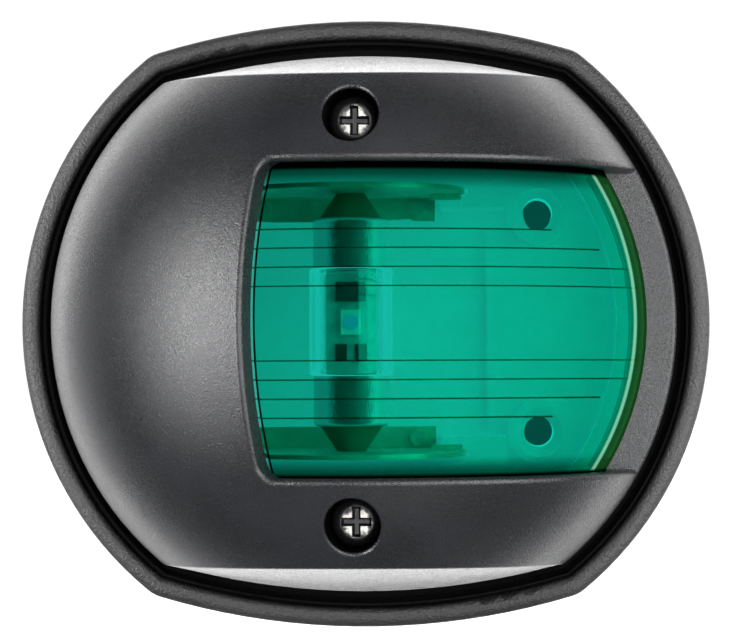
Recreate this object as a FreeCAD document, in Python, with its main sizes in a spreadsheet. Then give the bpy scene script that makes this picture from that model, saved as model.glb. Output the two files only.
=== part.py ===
"""Starboard navigation light for a small boat, screwed to an upright wall.

Millimetres. The wall is the plane Y = 0 and the light stands out of it towards -Y.
+Z is up and +X is forward. The origin is the middle of the back face.

Every piece but those of the bulb is drawn lying on its back, in "light coordinates": x forward, up,
and height above the wall. One placement, ON_WALL, then stands it up against the wall.
The bulb's pieces are drawn upright about the middle of the bulb.
"""

import FreeCAD, Part
import Sketcher

import math
import os

Vector = FreeCAD.Vector
Placement = FreeCAD.Placement
Rotation = FreeCAD.Rotation

ON_WALL = Placement(Vector(0, 0, 0), Rotation(Vector(1, 0, 0), 90))

# The driving dimensions: alias, value in millimetres or degrees, meaning.
DIMENSIONS = [
    # outline of the rubber bead: a circle cut off by a flatter arc above and below
    ("side_radius", 40.0, "round sides of the rubber bead, outside"),
    ("crown_up", 35.2, "top of the bead, above the middle"),
    ("crown_radius", 83.65, "arc of the bead's top and bottom"),
    ("corner_radius", 4.0, "rounding between those arcs"),
    # rubber mounting gasket
    ("sheet_thick", 1.5, "rubber under the base"),
    ("bead_width", 2.6, "width of the bead"),
    ("bead_top", 6.0, "front of the bead"),
    ("bead_round", 1.2, "rounding of the bead's front edges"),
    ("lead_gap", 0.2, "gap between the gasket and the grommet"),
    # base
    ("base_inset", 3.6, "edge of the base, inside the bead's outline"),
    ("base_top", 4.6, "front face of the base plate"),
    ("rim_side", 30.5, "round sides of the locating rim"),
    ("rim_crown", 28.7, "top of the locating rim"),
    ("rim_radius", 77.0, "arc of its top and bottom"),
    ("rim_corner", 2.0, "its corners"),
    ("rim_wall", 1.2, "its thickness"),
    ("rim_top", 6.6, "its front edge"),
    ("step_left", 14.2, "near edge of the raised floor"),
    ("step_right", 28.0, "far edge of the raised floor"),
    ("step_half", 11.6, "half height of the raised floor"),
    ("step_top", 5.4, "front of the raised floor"),
    # mounting holes
    ("fixing_x", 20.2, "mounting holes, from the middle"),
    ("fixing_up", 12.7, "mounting holes, above and below the middle"),
    ("fixing_hole", 1.7, "radius of a mounting hole"),
    ("fixing_boss", 3.6, "radius of the ring round it"),
    ("fixing_top", 7.0, "front of that ring"),
    ("fixing_seat", 2.8, "radius of the seat for a screw's head"),
    ("fixing_sink", 1.1, "depth of that seat"),
    # cable entry
    ("lead_x", -20.0, "cable entry"),
    ("lead_hole", 4.0, "radius of the hole in the base"),
    ("lead_bore", 2.5, "radius of the grommet's bore"),
    ("grommet_flange", 5.4, "radius of the grommet's front flange"),
    ("grommet_lip", 1.2, "thickness of that flange"),
    ("grommet_back", 0.3, "back end of the grommet"),
    # pillars for the cover's screws
    ("screw_up", 22.0, "cover screws, above and below the middle"),
    ("pillar_radius", 3.5, "pillar"),
    ("pillar_top", 21.2, "front of a pillar"),
    ("pillar_bore", 1.5, "radius of its bore"),
    ("pillar_floor", 7.4, "bottom of its bore"),
    # blocks beside the contact plates
    ("block_left", 9.0, "near face"),
    ("block_right", 16.4, "far face"),
    ("block_low", 13.0, "inner face"),
    ("block_high", 16.2, "outer face"),
    ("block_top", 11.8, "front"),
    ("block_slot", 12.2, "far end of the slot for the plate"),
    ("slot_gap", 0.15, "gap on each side of the plate"),
    # seal between base and cover
    ("seal_side", 35.1, "round sides of the seal"),
    ("seal_crown", 30.7, "top of the seal"),
    ("seal_radius", 79.2, "arc of its top and bottom"),
    ("seal_corner", 3.0, "its corners"),
    ("seal_width", 1.2, "its width"),
    ("seal_thick", 0.9, "its thickness"),
    # cover
    ("dome_radius", 36.1, "sphere of the cover's front"),
    ("dome_centre", 5.9, "height of its centre"),
    ("cover_wall", 2.35, "thickness of the dome"),
    ("foot_crown", 31.2, "top of the cover at its foot"),
    ("foot_radius", 79.7, "arc of its top there"),
    ("foot_corner", 3.4, "its corners there"),
    ("foot_spread", 0.5, "how far the corner block stands outside the dome"),
    ("peak_height", 43.0, "height at which the next three are measured"),
    ("peak_crown", 24.7, "top of the cover's upper wall"),
    ("peak_radius", 292.0, "arc of that wall"),
    ("peak_side", 46.0, "round sides there, well outside the dome"),
    ("crown_wall", 2.0, "thickness of the top and bottom walls"),
    ("edge_round", 0.7, "rounding between those walls and the dome"),
    ("skirt_bore", 32.5, "bore of the cover below the window"),
    ("neck_inset", 0.4, "depth of the shadow line over the flange"),
    ("neck_top", 5.7, "front of the shadow line"),
    ("flange_inset", 3.45, "edge of the cover's flange, inside the bead's outline"),
    ("flange_top", 5.2, "front of that flange"),
    # window in the cover
    ("window_half", 16.9, "half height of the window"),
    ("window_corner", 1.6, "its corners"),
    ("window_round", 0.5, "rounding of its outer edge"),
    ("sector", 22.5, "it opens this many degrees aft of straight out"),
    ("sill_x", 32.5, "where the sill's height is measured"),
    ("sill_height", 9.8, "height of the sill there"),
    ("sill_slope", 5.0, "fall of the sill towards its outer edge, in degrees"),
    # screw recesses in the cover
    ("recess_radius", 3.0, "recess for the head"),
    ("recess_round", 0.35, "rounding of its mouth"),
    ("boss_radius", 4.6, "tube round the screw"),
    ("boss_foot", 21.4, "back end of the tube"),
    ("recess_floor", 23.4, "floor of the recess"),
    ("screw_hole", 1.6, "hole for the shank"),
    # cover screws
    ("washer_thick", 0.6, "seal under the head"),
    ("washer_outer", 2.6, "its outer radius"),
    ("washer_inner", 1.5, "its inner radius"),
    ("head_radius", 2.75, "screw head"),
    ("head_thick", 1.9, "screw head"),
    ("head_round", 1.0, "rounding of the head"),
    ("shank_radius", 1.45, "outside of the thread"),
    ("shank_end", 9.4, "where the point starts"),
    ("shank_tip", 8.4, "tip of the point"),
    ("cross_width", 0.95, "arm of the cross slot"),
    ("cross_span", 3.3, "span of the cross slot"),
    ("cross_depth", 1.2, "depth of the cross slot"),
    # lens
    ("lens_gap", 0.05, "gap between lens and cover"),
    ("lens_wall", 1.4, "thickness of the lens"),
    ("skirt_gap", 0.2, "gap between the lens's skirt and the cover"),
    ("lens_half", 19.5, "half height of the lens"),
    ("lens_foot", 5.0, "back edge of the lens"),
    ("lens_tuck", 3.2, "how far the lens's flange runs on aft of the window"),
    ("lens_body_half", 16.7, "half height of the full thickness, inside the window"),
    ("lens_flange", 0.7, "thickness of the lens beyond that, behind the cover"),
    ("notch_gap", 0.2, "gap between the lens and the screw tubes"),
    ("flute_width", 0.14, "step line in the lens"),
    ("flute_depth", 0.3, "step line in the lens"),
    ("flute_middle", -0.4, "middle of the step lines, below the light's own middle"),
    ("flute_first", 3.9, "first step line, from that middle"),
    ("flute_pitch", 2.0, "distance between step lines"),
    ("flute_reach", 30.2, "forward end of the first step line"),
    ("flute_taper", 1.02, "sets how soon the outer step lines end"),
    # bulb: 31 mm festoon lamp with 8.5 mm caps
    ("bulb_x", -1.0, "axis of the bulb"),
    ("bulb_height", 15.0, "axis of the bulb"),
    ("tube_radius", 4.7, "clear tube"),
    ("tube_wall", 0.55, "clear tube"),
    ("tube_half", 5.95, "half length of the tube between the caps"),
    ("neck_radius", 3.8, "neck of the tube, inside a cap"),
    ("neck_end", 7.2, "end of that neck"),
    ("cap_radius", 4.25, "cap"),
    ("cap_wall", 0.35, "sheet of the cap"),
    ("cap_round", 0.5, "rounding of the cap's shoulder"),
    ("cap_end", 11.7, "shoulder of the cap"),
    ("cone_radius", 3.5, "wide end of the cap's cone"),
    ("cone_end", 15.2, "end of the cone"),
    ("tip_radius", 1.1, "end of the cone"),
    ("solder_radius", 0.6, "solder in the cone's end"),
    ("solder_low", 14.2, "inner end of the solder"),
    ("solder_tip", 15.5, "outer end of the solder"),
    ("board_half_width", 2.8, "circuit board"),
    ("board_half", 8.6, "circuit board, half length"),
    ("board_thick", 0.8, "circuit board"),
    ("led_width", 2.2, "light chip"),
    ("led_length", 2.8, "light chip"),
    ("led_thick", 0.8, "light chip"),
    ("window_radius", 0.85, "round clear window of the light chip"),
    ("window_thick", 0.15, "that window"),
    ("driver_width", 3.3, "driver chip"),
    ("driver_length", 2.3, "driver chip"),
    ("driver_thick", 1.0, "driver chip"),
    ("driver_up", 3.5, "driver chip, above the light chip"),
    ("resistor_width", 1.3, "resistor"),
    ("resistor_length", 2.0, "resistor"),
    ("resistor_thick", 0.5, "resistor"),
    ("resistor_x", 1.1, "resistors, each side of the middle"),
    ("resistor_up", -3.4, "resistors, below the light chip"),
    ("wire_radius", 0.25, "wire from the board to a cap"),
    # contact plates
    ("plate_up", 14.7, "middle of a plate's thickness"),
    ("plate_thick", 0.5, "sheet"),
    ("plate_radius", 12.8, "round front"),
    ("plate_hole", 1.68, "hole for the bulb's cone"),
    ("plate_left", -14.0, "aft end of the plate's foot"),
    ("plate_right", 8.3, "forward end of the plate's foot"),
    ("plate_shoulder", 11.0, "front of its square part"),
    ("foot_depth", 2.4, "how far the foot reaches inwards"),
    ("hook_left", 7.9, "near edge of the hook"),
    ("hook_right", 11.4, "far edge of the hook"),
    ("hook_low", 12.3, "back of the hook"),
    ("hook_high", 13.6, "front of the hook"),
    ("hook_depth", 0.6, "how far the hook reaches inwards"),
    ("blade_left", -20.4, "end of the blade for the supply lead"),
    ("blade_low", 7.4, "back of that blade"),
    ("blade_high", 10.2, "front of that blade"),
    ("blade_hole", 0.65, "hole in that blade"),
    # rivets in the plates' feet
    ("rivet_aft", -11.6, "aft rivet"),
    ("rivet_fore", 6.2, "forward rivet"),
    ("rivet_inset", 1.4, "rivets, from the middle of the plate"),
    ("rivet_shank", 0.6, "radius of the shank"),
    ("rivet_head", 0.95, "radius of the head"),
    ("rivet_proud", 0.5, "thickness of the head"),
    ("rivet_depth", 1.6, "depth of the shank in the base"),
]


class Size:
    """A length or angle: its value now, and the expression over the sheet that drives it."""

    def __init__(self, value, text):
        self.value = value
        self.text = text

    def __add__(self, other):
        other = as_size(other)
        return Size(self.value + other.value, f"({self.text} + {other.text})")

    def __sub__(self, other):
        other = as_size(other)
        return Size(self.value - other.value, f"({self.text} - {other.text})")

    def __mul__(self, other):
        other = as_size(other)
        return Size(self.value * other.value, f"({self.text} * {other.text})")

    def __truediv__(self, other):
        other = as_size(other)
        return Size(self.value / other.value, f"({self.text} / {other.text})")

    def __neg__(self):
        return Size(-self.value, f"(0 - {self.text})")

    def __radd__(self, other):
        return as_size(other) + self

    def __rsub__(self, other):
        return as_size(other) - self

    def __rmul__(self, other):
        return as_size(other) * self


def as_size(number):
    """A plain number as a Size, or a Size as it is."""
    if isinstance(number, Size):
        return number
    return Size(float(number), repr(float(number)))


def tangent(angle):
    """The tangent of a Size in degrees."""
    return Size(math.tan(math.radians(angle.value)), f"tan({angle.text})")


class Sheet:
    """The spreadsheet of driving dimensions. Each alias is an attribute that gives its Size."""

    def __init__(self, doc):
        self.cells = doc.addObject("Spreadsheet::Sheet", "Dims")
        for row, (alias, value, meaning) in enumerate(DIMENSIONS, start=1):
            self.cells.set(f"A{row}", alias.replace("_", " "))
            self.cells.set(f"B{row}", str(value))
            self.cells.setAlias(f"B{row}", alias)
            self.cells.set(f"C{row}", meaning)
            setattr(self, alias, Size(value, f"Dims.{alias}"))
        doc.recompute()


doc = FreeCAD.newDocument("navigation_light")
dims = Sheet(doc)
nodes = []


# ---------------------------------------------------------------- helpers


def drive(thing, prop, size):
    """Binds one property of an object to the sheet."""
    thing.setExpression(prop, as_size(size).text)


def place(thing, x=0, up=0, height=0):
    """Binds where an object's base point lies, in light coordinates."""
    drive(thing, "Placement.Base.x", x)
    drive(thing, "Placement.Base.y", up)
    drive(thing, "Placement.Base.z", height)


def post(name, radius, low, high, x=0, up=0):
    """A round post that stands on the wall, between two heights."""
    thing = doc.addObject("Part::Cylinder", name)
    drive(thing, "Radius", radius)
    drive(thing, "Height", as_size(high) - low)
    place(thing, x, up, low)
    return thing


def bar(name, radius, low, high, x, height):
    """A round bar parallel to the light's upright axis, between two positions up."""
    thing = doc.addObject("Part::Cylinder", name)
    thing.Placement = Placement(Vector(0, 0, 0), Rotation(Vector(1, 0, 0), -90))
    drive(thing, "Radius", radius)
    drive(thing, "Height", as_size(high) - low)
    place(thing, x, low, height)
    return thing


def box(name, left, right, low, high, back, front):
    """A block between two x positions, two positions up and two heights."""
    thing = doc.addObject("Part::Box", name)
    drive(thing, "Length", as_size(right) - left)
    drive(thing, "Width", as_size(high) - low)
    drive(thing, "Height", as_size(front) - back)
    place(thing, left, low, back)
    return thing


def ball(name, radius):
    """A sphere about the centre of the cover's dome, with its poles and seam out of the dome's way."""
    thing = doc.addObject("Part::Sphere", name)
    upright = Rotation(Vector(1, 0, 0), -90)
    seam_back = Rotation(Vector(0, 1, 0), 90)
    thing.Placement = Placement(Vector(0, 0, 0), seam_back.multiply(upright))
    drive(thing, "Radius", radius)
    place(thing, 0, 0, dims.dome_centre)
    return thing


def fuse(name, *things):
    result = doc.addObject("Part::MultiFuse", name)
    result.Shapes = list(things)
    result.Refine = True
    return result


def common(name, *things):
    result = doc.addObject("Part::MultiCommon", name)
    result.Shapes = list(things)
    result.Refine = True
    return result


def cut(name, base, tool):
    result = doc.addObject("Part::Cut", name)
    result.Base = base
    result.Tool = tool
    result.Refine = True
    return result


def fix(sketch, constraint, size):
    """Adds a dimension to a sketch and binds it to the sheet."""
    index = sketch.addConstraint(constraint)
    sketch.setExpression(f"Constraints[{index}]", as_size(size).text)


def arc(sketch, centre, radius, start, end):
    circle = Part.Circle(Vector(centre[0], centre[1], 0), Vector(0, 0, 1), radius)
    return sketch.addGeometry(Part.ArcOfCircle(circle, start, end), False)


def draw_outline(sketch, side, crown, crown_radius, corner):
    """The light's outline: round sides, flatter arcs above and below, and rounded corners."""
    side_r = side.value
    crown_r = crown_radius.value
    corner_r = corner.value
    drop = crown_r - crown.value
    corner_up = ((crown_r - corner_r) ** 2 - (side_r - corner_r) ** 2 - drop ** 2) / (2 * drop)
    corner_x = math.sqrt((side_r - corner_r) ** 2 - corner_up ** 2)
    low = math.atan2(corner_up, corner_x)
    high = math.atan2(corner_up + drop, corner_x)
    turn = math.pi
    arcs = [
        arc(sketch, (0, 0), side_r, -low, low),
        arc(sketch, (corner_x, corner_up), corner_r, low, high),
        arc(sketch, (0, -drop), crown_r, high, turn - high),
        arc(sketch, (-corner_x, corner_up), corner_r, turn - high, turn - low),
        arc(sketch, (0, 0), side_r, turn - low, turn + low),
        arc(sketch, (-corner_x, -corner_up), corner_r, turn + low, turn + high),
        arc(sketch, (0, drop), crown_r, turn + high, 2 * turn - high),
        arc(sketch, (corner_x, -corner_up), corner_r, 2 * turn - high, 2 * turn - low),
    ]
    right, upper_right, top, upper_left, left, lower_left, bottom, lower_right = arcs
    for index, current in enumerate(arcs):
        following = arcs[(index + 1) % len(arcs)]
        sketch.addConstraint(Sketcher.Constraint("Tangent", current, 2, following, 1))
    sketch.addConstraint(Sketcher.Constraint("Coincident", right, 3, -1, 1))
    sketch.addConstraint(Sketcher.Constraint("Coincident", left, 3, -1, 1))
    sketch.addConstraint(Sketcher.Constraint("PointOnObject", top, 3, -2))
    sketch.addConstraint(Sketcher.Constraint("Symmetric", top, 3, bottom, 3, -1, 1))
    sketch.addConstraint(Sketcher.Constraint("Equal", right, left))
    sketch.addConstraint(Sketcher.Constraint("Equal", top, bottom))
    for other in (upper_left, lower_left, lower_right):
        sketch.addConstraint(Sketcher.Constraint("Equal", upper_right, other))
    fix(sketch, Sketcher.Constraint("Radius", right, side_r), side)
    fix(sketch, Sketcher.Constraint("Radius", top, crown_r), crown_radius)
    fix(sketch, Sketcher.Constraint("Radius", upper_right, corner_r), corner)
    fix(sketch, Sketcher.Constraint("DistanceY", top, 3, -1, 1, drop), crown_radius - crown)


def draw_polygon(sketch, points):
    """A closed polygon with both coordinates of every corner bound to the sheet."""
    corners = [Vector(as_size(x).value, as_size(y).value, 0) for x, y in points]
    lines = []
    for index, start in enumerate(corners):
        end = corners[(index + 1) % len(corners)]
        lines.append(sketch.addGeometry(Part.LineSegment(start, end), False))
    for index, line in enumerate(lines):
        following = lines[(index + 1) % len(lines)]
        sketch.addConstraint(Sketcher.Constraint("Coincident", line, 2, following, 1))
    for line, (x, y) in zip(lines, points):
        for kind, size in (("DistanceX", as_size(x)), ("DistanceY", as_size(y))):
            if abs(size.value) < 1e-9:
                axis = -2 if kind == "DistanceX" else -1
                sketch.addConstraint(Sketcher.Constraint("PointOnObject", line, 1, axis))
            elif size.value > 0:
                fix(sketch, Sketcher.Constraint(kind, -1, 1, line, 1, size.value), size)
            else:
                fix(sketch, Sketcher.Constraint(kind, line, 1, -1, 1, -size.value), -size)


def draw_circle(sketch, radius, x=0, up=0):
    """A circle with its centre and radius bound to the sheet."""
    centre = Vector(as_size(x).value, as_size(up).value, 0)
    circle = sketch.addGeometry(Part.Circle(centre, Vector(0, 0, 1), radius.value), False)
    for kind, size in (("DistanceX", as_size(x)), ("DistanceY", as_size(up))):
        if abs(size.value) < 1e-9:
            axis = -2 if kind == "DistanceX" else -1
            sketch.addConstraint(Sketcher.Constraint("PointOnObject", circle, 3, axis))
        elif size.value > 0:
            fix(sketch, Sketcher.Constraint(kind, -1, 1, circle, 3, size.value), size)
        else:
            fix(sketch, Sketcher.Constraint(kind, circle, 3, -1, 1, -size.value), -size)
    fix(sketch, Sketcher.Constraint("Radius", circle, radius.value), radius)


def loose_sketch(name, height=0):
    """A sketch parallel to the wall, for a Part extrusion or loft."""
    sketch = doc.addObject("Sketcher::SketchObject", name)
    place(sketch, 0, 0, height)
    return sketch


def prism(name, sketch, length):
    """Extrudes a sketch that is parallel to the wall, away from the wall."""
    result = doc.addObject("Part::Extrusion", name)
    result.Base = sketch
    result.DirMode = "Normal"
    result.Solid = True
    drive(result, "LengthFwd", length)
    return result


def profile_prism(name, points, half):
    """A polygon in x and height, extruded both ways along the upright axis."""
    sketch = doc.addObject("Sketcher::SketchObject", f"{name}_profile")
    sketch.Placement = ON_WALL
    draw_polygon(sketch, points)
    result = doc.addObject("Part::Extrusion", name)
    result.Base = sketch
    result.DirMode = "Normal"
    result.Symmetric = True
    result.Solid = True
    drive(result, "LengthFwd", 2 * half)
    return result


def family(inset):
    """The four sizes of an outline that runs a fixed distance inside the bead's outline."""
    corner = dims.corner_radius - inset
    return dims.side_radius - inset, dims.crown_up - inset, dims.crown_radius - inset, corner


def new_body(name):
    """A body that will be a node."""
    body = doc.addObject("PartDesign::Body", name)
    body.Label = name
    body.Placement = ON_WALL
    nodes.append(body)
    return body


def body_plane(body, role):
    return next(item for item in body.Origin.OriginFeatures if item.Role == role)


def body_sketch(body, name, role="XY_Plane", height=0):
    """A sketch on one of the body's own origin planes, moved out along that plane's normal."""
    sketch = body.newObject("Sketcher::SketchObject", name)
    sketch.AttachmentSupport = [(body_plane(body, role), "")]
    sketch.MapMode = "FlatFace"
    drive(sketch, "AttachmentOffset.Base.z", height)
    return sketch


def pad(body, name, sketch, length):
    feature = body.newObject("PartDesign::Pad", name)
    feature.Profile = sketch
    drive(feature, "Length", length)
    return feature


def pocket_back(body, name, sketch, length):
    """Cuts from the sketch towards the wall."""
    feature = body.newObject("PartDesign::Pocket", name)
    feature.Profile = sketch
    drive(feature, "Length", length)
    return feature


def revolve(body, name, sketch, axis):
    feature = body.newObject("PartDesign::Revolution", name)
    feature.Profile = sketch
    feature.ReferenceAxis = (sketch, [axis])
    feature.Angle = 360
    return feature


def round_edges(body, name, radius, wanted):
    """Rounds the edges of the body's last feature whose middle points satisfy a test."""
    doc.recompute()
    base = body.Tip
    names = []
    for index, edge in enumerate(base.Shape.Edges, start=1):
        first, last = edge.ParameterRange
        middle = edge.valueAt((first + last) / 2)
        if wanted(edge, middle):
            names.append(f"Edge{index}")
    if not names:
        raise RuntimeError(f"{name}: no edge found")
    feature = body.newObject("PartDesign::Fillet", name)
    feature.Base = (base, names)
    drive(feature, "Radius", radius)
    body.Tip = feature
    return feature


def finish_with_booleans(name, thing):
    """Makes a Part object a node: its label names the file, and it stands on the wall."""
    thing.Label = name
    thing.Placement = ON_WALL
    nodes.append(thing)
    return thing


def body_round(name, thing):
    """A body that starts from a Part object, so that edges can be rounded."""
    body = new_body(name)
    body.BaseFeature = thing
    return body


# ---------------------------------------------------------------- gasket and base


def fixing_points():
    """The four mounting holes, as pairs of Sizes."""
    return [
        (sign_x * dims.fixing_x, sign_up * dims.fixing_up)
        for sign_x in (1, -1)
        for sign_up in (1, -1)
    ]


def build_gasket():
    """Rubber sheet under the base, with a bead round its edge."""
    body = new_body("mounting_gasket")
    sheet = body_sketch(body, "gasket_outline")
    draw_outline(sheet, *family(0))
    pad(body, "gasket_sheet", sheet, dims.sheet_thick)
    bead = body_sketch(body, "bead_outline", height=dims.sheet_thick)
    draw_outline(bead, *family(0))
    draw_outline(bead, *family(dims.bead_width))
    pad(body, "gasket_bead", bead, dims.bead_top - dims.sheet_thick)
    holes = body_sketch(body, "gasket_holes", height=dims.sheet_thick)
    for x, up in fixing_points():
        draw_circle(holes, dims.fixing_hole, x, up)
    draw_circle(holes, dims.lead_hole + dims.lead_gap, dims.lead_x, 0)
    pocket_back(body, "gasket_hole_cut", holes, dims.sheet_thick)
    top = dims.bead_top.value
    round_edges(body, "bead_rounding", dims.bead_round, lambda edge, middle: abs(middle.z - top) < 0.01)


def build_base():
    """White moulding: plate, locating rim, screw pillars, bosses and blocks."""
    body = new_body("base_moulding")
    plate = body_sketch(body, "plate_outline", height=dims.sheet_thick)
    draw_outline(plate, *family(dims.base_inset))
    pad(body, "base_plate", plate, dims.base_top - dims.sheet_thick)
    rim = body_sketch(body, "rim_outline", height=dims.base_top)
    draw_outline(rim, dims.rim_side, dims.rim_crown, dims.rim_radius, dims.rim_corner)
    wall = dims.rim_wall
    inner = (dims.rim_side - wall, dims.rim_crown - wall, dims.rim_radius - wall)
    draw_outline(rim, *inner, dims.rim_corner - wall)
    pad(body, "locating_rim", rim, dims.rim_top - dims.base_top)
    step = body_sketch(body, "step_outline", height=dims.base_top)
    half = dims.step_half
    left, right = dims.step_left, dims.step_right
    draw_polygon(step, [(left, -half), (right, -half), (right, half), (left, half)])
    pad(body, "raised_floor", step, dims.step_top - dims.base_top)
    bosses = body_sketch(body, "boss_circles", height=dims.base_top)
    for x, up in fixing_points():
        draw_circle(bosses, dims.fixing_boss, x, up)
    pad(body, "fixing_bosses", bosses, dims.fixing_top - dims.base_top)
    for side, sign in (("top", 1), ("bottom", -1)):
        pillar = body_sketch(body, f"pillar_circle_{side}", height=dims.base_top)
        draw_circle(pillar, dims.pillar_radius, 0, sign * dims.screw_up)
        pad(body, f"screw_pillar_{side}", pillar, dims.pillar_top - dims.base_top)
        block = body_sketch(body, f"block_outline_{side}", height=dims.base_top)
        low, high = sign * dims.block_low, sign * dims.block_high
        left, right = dims.block_left, dims.block_right
        draw_polygon(block, [(left, low), (right, low), (right, high), (left, high)])
        pad(body, f"plate_block_{side}", block, dims.block_top - dims.base_top)
        slot = body_sketch(body, f"slot_outline_{side}", height=dims.block_top)
        reach = dims.plate_thick / 2 + dims.slot_gap
        low, high = sign * (dims.plate_up - reach), sign * (dims.plate_up + reach)
        left, right = dims.block_left - 0.5, dims.block_slot
        draw_polygon(slot, [(left, low), (right, low), (right, high), (left, high)])
        pocket_back(body, f"plate_slot_{side}", slot, dims.block_top - dims.base_top)
    bores = body_sketch(body, "pillar_bores", height=dims.pillar_top)
    for sign in (1, -1):
        draw_circle(bores, dims.pillar_bore, 0, sign * dims.screw_up)
    pocket_back(body, "pillar_bore_cut", bores, dims.pillar_top - dims.pillar_floor)
    holes = body_sketch(body, "base_holes", height=dims.fixing_top)
    for x, up in fixing_points():
        draw_circle(holes, dims.fixing_hole, x, up)
    draw_circle(holes, dims.lead_hole, dims.lead_x, 0)
    pocket_back(body, "base_hole_cut", holes, dims.fixing_top - dims.sheet_thick)
    seats = body_sketch(body, "seat_circles", height=dims.fixing_top)
    for x, up in fixing_points():
        draw_circle(seats, dims.fixing_seat, x, up)
    pocket_back(body, "seat_cut", seats, dims.fixing_sink)
    groove = body_sketch(body, "seal_groove_outline", height=dims.base_top)
    draw_seal(groove)
    pocket_back(body, "seal_groove", groove, dims.seal_thick)
    rivets = body_sketch(body, "rivet_holes", height=dims.base_top)
    for x in (dims.rivet_aft, dims.rivet_fore):
        for sign in (1, -1):
            draw_circle(rivets, dims.rivet_shank, x, sign * (dims.plate_up - dims.rivet_inset))
    pocket_back(body, "rivet_hole_cut", rivets, dims.rivet_depth)


def draw_seal(sketch):
    width = dims.seal_width
    draw_outline(sketch, dims.seal_side, dims.seal_crown, dims.seal_radius, dims.seal_corner)
    inner = (dims.seal_side - width, dims.seal_crown - width, dims.seal_radius - width)
    draw_outline(sketch, *inner, dims.seal_corner - width)


def build_seal():
    """Rubber ring in the base's groove, under the foot of the cover."""
    body = new_body("cover_seal")
    ring = body_sketch(body, "seal_outline", height=dims.base_top - dims.seal_thick)
    draw_seal(ring)
    pad(body, "seal_ring", ring, dims.seal_thick)


def build_grommet():
    """Rubber grommet for the supply cable: a sleeve with a flange in front."""
    body = new_body("cable_grommet")
    profile = body_sketch(body, "grommet_profile", role="XZ_Plane")
    bore, sleeve, flange = dims.lead_bore, dims.lead_hole, dims.grommet_flange
    back, floor = dims.grommet_back, dims.base_top
    front = floor + dims.grommet_lip
    x = dims.lead_x
    points = [
        (x + bore, back),
        (x + sleeve, back),
        (x + sleeve, floor),
        (x + flange, floor),
        (x + flange, front),
        (x + bore, front),
    ]
    draw_polygon(profile, points)
    axis = profile.addGeometry(Part.LineSegment(Vector(x.value, 0, 0), Vector(x.value, 10, 0)), True)
    profile.addConstraint(Sketcher.Constraint("Vertical", axis))
    profile.addConstraint(Sketcher.Constraint("PointOnObject", axis, 1, -1))
    fix(profile, Sketcher.Constraint("DistanceX", axis, 1, -1, 1, -x.value), -x)
    fix(profile, Sketcher.Constraint("Distance", axis, 10), 10)
    turned = body.newObject("PartDesign::Revolution", "grommet_turned")
    turned.Profile = profile
    turned.ReferenceAxis = (profile, ["Axis0"])
    turned.Angle = 360
    rim = front.value
    round_edges(body, "grommet_rounding", 0.4, lambda edge, middle: abs(middle.z - rim) < 0.01)


# ---------------------------------------------------------------- contact plates


def build_contact_plate(side, sign):
    """Round-fronted plate with a hole for the bulb's cone, a foot, a hook and a blade."""
    half = dims.plate_thick / 2
    floor = dims.base_top
    outer = dims.plate_up + half
    inner = dims.plate_up - half

    def span(low, high):
        return (low, high) if sign > 0 else (-high, -low)

    bulb = (dims.bulb_x, dims.bulb_height)
    disc = bar(f"plate_disc_{side}", dims.plate_radius, *span(inner, outer), *bulb)
    keep = box(f"plate_keep_{side}", -30, 30, *span(inner - 5, outer + 5), floor, 40)
    front = common(f"plate_front_{side}", disc, keep)
    left, right = dims.plate_left, dims.plate_right
    square = box(f"plate_square_{side}", left, right, *span(inner, outer), floor, dims.plate_shoulder)
    foot_inner = inner - dims.foot_depth
    foot_top = floor + dims.plate_thick
    foot = box(f"plate_foot_{side}", left, right, *span(foot_inner, outer), floor, foot_top)
    hook_span = span(inner - dims.hook_depth, outer)
    hook_x = (dims.hook_left, dims.hook_right)
    hook = box(f"plate_hook_{side}", *hook_x, *hook_span, dims.hook_low, dims.hook_high)
    blade_x = (dims.blade_left, left + 1)
    blade = box(f"plate_blade_{side}", *blade_x, *span(inner, outer), dims.blade_low, dims.blade_high)
    metal = fuse(f"plate_metal_{side}", front, square, foot, hook, blade)
    reach = span(inner - 5, outer + 5)
    cone_hole = bar(f"plate_hole_{side}", dims.plate_hole, *reach, *bulb)
    blade_middle = (dims.blade_low + dims.blade_high) / 2
    blade_hole = bar(f"blade_hole_{side}", dims.blade_hole, *reach, dims.blade_left + 1.8, blade_middle)
    rivets = []
    for name, x in (("aft", dims.rivet_aft), ("fore", dims.rivet_fore)):
        up = sign * (dims.plate_up - dims.rivet_inset)
        rivets.append(post(f"plate_rivet_{name}_{side}", dims.rivet_shank, 0, 8, x, up))
    holes = fuse(f"plate_holes_{side}", cone_hole, blade_hole, *rivets)
    plate = cut(f"plate_whole_{side}", metal, holes)
    finish_with_booleans(f"contact_plate_{side}", plate)


def build_rivets(side, sign):
    """The two rivets that hold a plate's foot to the base."""
    pieces = []
    foot_top = dims.base_top + dims.plate_thick
    up = sign * (dims.plate_up - dims.rivet_inset)
    for name, x in (("aft", dims.rivet_aft), ("fore", dims.rivet_fore)):
        low = dims.base_top - dims.rivet_depth
        shank = post(f"rivet_shank_{name}_{side}", dims.rivet_shank, low, foot_top, x, up)
        head_top = foot_top + dims.rivet_proud
        head = post(f"rivet_head_{name}_{side}", dims.rivet_head, foot_top, head_top, x, up)
        pieces.append(fuse(f"rivet_{name}_{side}", shank, head))
    group = doc.addObject("Part::Compound", f"rivets_{side}")
    group.Links = pieces
    finish_with_booleans(f"plate_rivets_{side}", group)


# ---------------------------------------------------------------- cover and lens


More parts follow.
